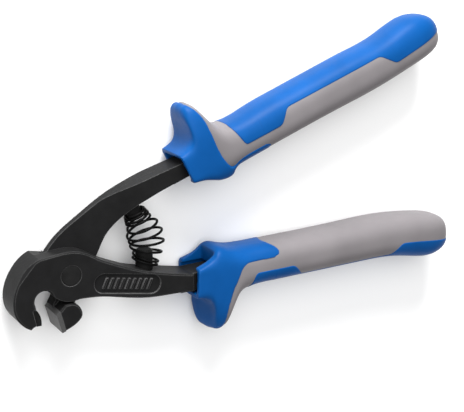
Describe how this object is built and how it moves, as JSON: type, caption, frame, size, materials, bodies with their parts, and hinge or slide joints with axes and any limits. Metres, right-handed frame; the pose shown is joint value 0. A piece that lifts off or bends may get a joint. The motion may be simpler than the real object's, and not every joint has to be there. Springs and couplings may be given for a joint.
{
  "type": "tile nippers",
  "caption": "Hand nippers for trimming ceramic tile: a hook jaw and a block jaw on a riveted pivot, a return spring and two guarded two-colour grips.",
  "frame": {"origin": "on the pivot axis, at the flat back face of the rear lever's boss", "axes": "+X from the jaws to the handle ends, halfway between the open handles; +Y to the upper handle; +Z along the pivot to the front face"},
  "size_m": [0.2199, 0.1135, 0.023],
  "materials": {
    "black_steel": "satin black oxide",
    "carbide": "ground",
    "rivet_steel": "blackened steel",
    "spring_wire": "black drawn wire",
    "blue_rubber": "soft matte",
    "gray_rubber": "soft matte"
  },
  "bodies": {
    "front_body": {"front_lever": "black_steel", "hook_tip": "carbide", "pivot_rivet": "rivet_steel", "lower_spring_stud": "rivet_steel", "return_spring": "spring_wire", "lower_grip_sleeve": "blue_rubber", "lower_grip_body": "gray_rubber", "lower_grip_back": "blue_rubber"},
    "rear_body": {"rear_lever": "black_steel", "block_tip": "carbide", "upper_spring_stud": "rivet_steel", "upper_grip_sleeve": "blue_rubber", "upper_grip_body": "gray_rubber", "upper_grip_back": "blue_rubber"}
  },
  "joints": [
    {"name": "pivot", "type": "hinge", "parent": "front_body", "child": "rear_body", "pos_m": [0, 0, 0.0075], "axis": [0, 0, 1], "range_deg": [-21, 0], "stiffness_Nm_per_rad": 2.5, "springref_deg": 8.59, "deforming": ["return_spring"]}
  ]
}
